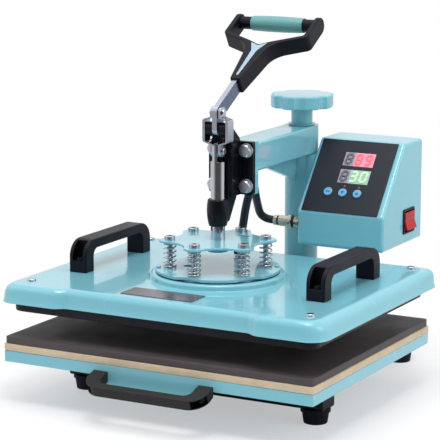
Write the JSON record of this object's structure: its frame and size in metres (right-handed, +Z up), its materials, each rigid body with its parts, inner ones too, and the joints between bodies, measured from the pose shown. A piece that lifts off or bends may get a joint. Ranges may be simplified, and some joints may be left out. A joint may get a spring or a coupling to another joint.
{
  "type": "heat press",
  "caption": "Swing-away flat heat press: slide-out tray with mat, toggle lever over a sprung heating head, column arm with control box.",
  "frame": {"origin": "on the ground under the middle of the whole press", "axes": "+Z up, -Y towards the user, where the tray pulls out, +X to the control box"},
  "size_m": [0.4, 0.439, 0.4171],
  "materials": {
    "aqua_paint": "gloss powder coat",
    "black_paint": "satin black coat",
    "black_plastic": "fine moulded texture",
    "rubber": "matt",
    "zinc_steel": "zinc plated",
    "chrome": "polished",
    "nickel": "bright plated",
    "brass": "turned",
    "plate": "black non-stick coating",
    "silicone": "soft matt silicone",
    "pad": "beige foam rubber",
    "insulation": "pressed fibre board",
    "panel": "satin film",
    "display": "smoked window",
    "board": "solder mask",
    "button": "blue moulded",
    "rocker": "bright red",
    "grip": "teal moulded",
    "inlay": "pale blue moulded",
    "cable": "dark sleeve",
    "name_plate": "brushed grey, blank"
  },
  "bodies": {
    "base": {"cross_tubes": "black_paint", "tube_plugs": "black_plastic", "rubber_feet": "rubber", "foot_screws": "zinc_steel", "side_rails": "black_paint", "slide_outer": "zinc_steel", "pivot_post": "black_paint"},
    "tray": {"slide_inner": "zinc_steel", "tray_pan": "aqua_paint", "backing_pad": "pad", "silicone_mat": "silicone", "pull_handle": "black_plastic", "pull_handle_screws": "zinc_steel"},
    "arm": {"clamp_body": "black_paint", "clamp_bolts": "zinc_steel", "fulcrum_pin": "chrome", "arm_plates": "aqua_paint", "arm_beam": "aqua_paint", "column_tube": "aqua_paint", "column_bushes": "brass", "control_box": "aqua_paint", "back_cover": "aqua_paint", "box_screws": "zinc_steel", "control_panel": "panel", "displays": "display", "indicator_lamps": "display", "circuit_board": "board", "switch_frame": "black_plastic", "power_inlet": "black_plastic", "cable_socket": "nickel", "cable_plug": "nickel", "head_cable": "cable"},
    "knob": {"lock_knob": "aqua_paint", "knob_stud": "zinc_steel"},
    "lever": {"lever_bar": "zinc_steel", "lever_pin": "chrome", "handle_yoke": "black_plastic", "yoke_inlay": "inlay", "grip_barrel": "grip", "grip_rod": "black_plastic"},
    "link": {"toggle_links": "zinc_steel", "link_pins": "chrome"},
    "head": {"heating_plate": "plate", "heating_element": "zinc_steel", "insulation_pad": "insulation", "head_supports": "zinc_steel", "head_cover": "aqua_paint", "head_screws": "zinc_steel", "name_plate": "name_plate", "cable_gland": "black_plastic", "head_handles": "black_plastic", "lower_plate": "aqua_paint", "spring_bolts": "zinc_steel", "pressure_springs": "nickel"},
    "plunger": {"upper_plate": "aqua_paint", "plunger_rod": "chrome"},
    "rocker": {"power_rocker": "rocker"},
    "button_set": {"set_button": "button"},
    "button_down": {"down_button": "button"},
    "button_up": {"up_button": "button"}
  },
  "joints": [
    {"name": "tray_slide", "type": "slide", "parent": "base", "child": "tray", "axis": [0, -1, 0], "range_m": [0, 0.14]},
    {"name": "arm_swing", "type": "hinge", "parent": "base", "child": "arm", "pos_m": [0, 0.16445, 0.2], "axis": [0, 0, 1], "range_deg": [-180, 180]},
    {"name": "lock_knob_turn", "type": "hinge", "parent": "base", "child": "knob", "pos_m": [0, 0.16445, 0.31], "axis": [0, 0, 1], "range_deg": [0, 270]},
    {"name": "lever_turn", "type": "hinge", "parent": "arm", "child": "lever", "pos_m": [0, -0.04455, 0.3043], "axis": [1, 0, 0], "range_deg": [0, 180]},
    {"name": "link_turn", "type": "hinge", "parent": "lever", "child": "link", "pos_m": [0, -0.04455, 0.3223], "axis": [1, 0, 0], "range_deg": [-180, 0]},
    {"name": "head_lower", "type": "slide", "parent": "arm", "child": "head", "axis": [0, 0, -1], "range_m": [0, 0.0276]},
    {"name": "plunger_press", "type": "slide", "parent": "head", "child": "plunger", "axis": [0, 0, -1], "range_m": [0, 0.0084], "deforming": ["pressure_springs"]},
    {"name": "power_switch", "type": "hinge", "parent": "arm", "child": "rocker", "pos_m": [0.134, 0.17845, 0.1753], "axis": [0, 1, 0], "range_deg": [0, 18]},
    {"name": "set_press", "type": "slide", "parent": "arm", "child": "button_set", "axis": [0, 0.7867, -0.6174], "range_m": [0, 0.0008], "stiffness_N_per_m": 900, "springref_m": -0.0006},
    {"name": "down_press", "type": "slide", "parent": "arm", "child": "button_down", "axis": [0, 0.7867, -0.6174], "range_m": [0, 0.0008], "stiffness_N_per_m": 900, "springref_m": -0.0006},
    {"name": "up_press", "type": "slide", "parent": "arm", "child": "button_up", "axis": [0, 0.7867, -0.6174], "range_m": [0, 0.0008], "stiffness_N_per_m": 900, "springref_m": -0.0006}
  ],
  "couplings": [
    {"joint": "link_turn", "follows": "lever_turn", "ratio": -1},
    {"joint": "head_lower", "follows": "lever_turn", "m_per_rad": 0.0087854},
    {"joint": "plunger_press", "follows": "lever_turn", "m_per_rad": 0.0026738}
  ]
}
